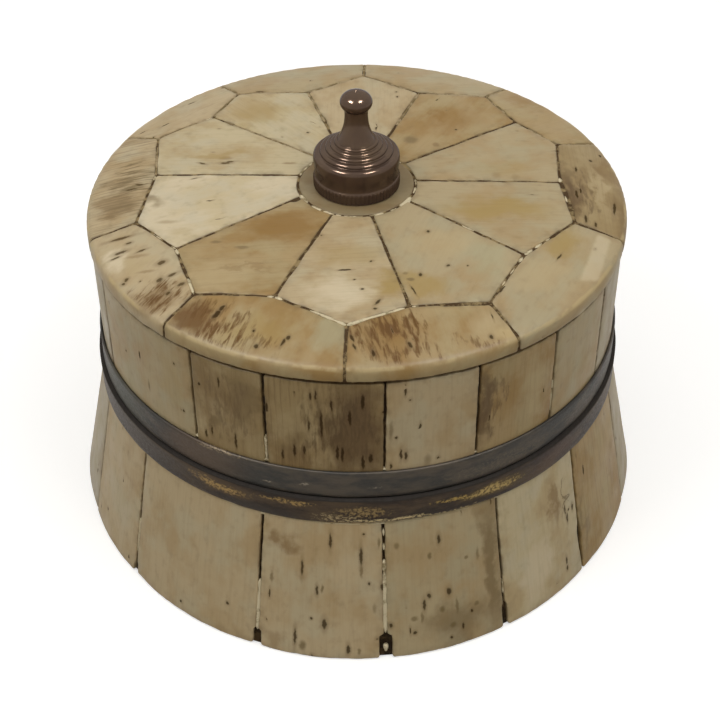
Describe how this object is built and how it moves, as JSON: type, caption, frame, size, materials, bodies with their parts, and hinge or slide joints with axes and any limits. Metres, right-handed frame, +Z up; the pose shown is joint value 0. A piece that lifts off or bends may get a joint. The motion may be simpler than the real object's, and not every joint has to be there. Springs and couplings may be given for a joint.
{
  "type": "trinket box",
  "caption": "Round lidded trinket box: wooden cores faced with polished bone staves, a bone mosaic lid, dark metal bands at the parting line and a turned brass finial.",
  "frame": {"origin": "centre of the foot, on the surface that the box stands on", "axes": "+Z up along the axis of the box, -Y towards the front of the picture, +X to its right"},
  "size_m": [0.1308, 0.1307, 0.0991],
  "materials": {
    "polished_bone": "polished bone, cream to tan, with grain flecks",
    "turned_wood": "bare turned hardwood",
    "dark_band": "blackened brass strip, worn at the edges",
    "dark_brass": "dark toned cast brass, glossy",
    "steel_screw": "plain steel"
  },
  "bodies": {
    "base": {"base_core": "turned_wood", "base_band": "dark_band", "base_stave_01": "polished_bone", "base_stave_02": "polished_bone", "base_stave_03": "polished_bone", "base_stave_04": "polished_bone", "base_stave_05": "polished_bone", "base_stave_06": "polished_bone", "base_stave_07": "polished_bone", "base_stave_08": "polished_bone", "base_stave_09": "polished_bone", "base_stave_10": "polished_bone", "base_stave_11": "polished_bone", "base_stave_12": "polished_bone", "base_stave_13": "polished_bone"},
    "lid": {"lid_core": "turned_wood", "lid_band": "dark_band", "lid_stave_01": "polished_bone", "lid_stave_02": "polished_bone", "lid_stave_03": "polished_bone", "lid_stave_04": "polished_bone", "lid_stave_05": "polished_bone", "lid_stave_06": "polished_bone", "lid_stave_07": "polished_bone", "lid_stave_08": "polished_bone", "lid_stave_09": "polished_bone", "lid_stave_10": "polished_bone", "lid_stave_11": "polished_bone", "lid_stave_12": "polished_bone", "lid_stave_13": "polished_bone", "lid_stave_14": "polished_bone", "lid_stave_15": "polished_bone", "lid_stave_16": "polished_bone", "inner_tile_01": "polished_bone", "inner_tile_02": "polished_bone", "inner_tile_03": "polished_bone", "inner_tile_04": "polished_bone", "inner_tile_05": "polished_bone", "inner_tile_06": "polished_bone", "inner_tile_07": "polished_bone", "inner_tile_08": "polished_bone", "inner_tile_09": "polished_bone", "inner_tile_10": "polished_bone", "rim_tile_01": "polished_bone", "rim_tile_02": "polished_bone", "rim_tile_03": "polished_bone", "rim_tile_04": "polished_bone", "rim_tile_05": "polished_bone", "rim_tile_06": "polished_bone", "rim_tile_07": "polished_bone", "rim_tile_08": "polished_bone", "rim_tile_09": "polished_bone", "rim_tile_10": "polished_bone", "centre_disc": "polished_bone", "finial": "dark_brass", "finial_screw": "steel_screw"}
  },
  "joints": [
    {"name": "lid_lift", "type": "slide", "parent": "base", "child": "lid", "axis": [0, 0, 1], "range_m": [0, 0.1]}
  ]
}
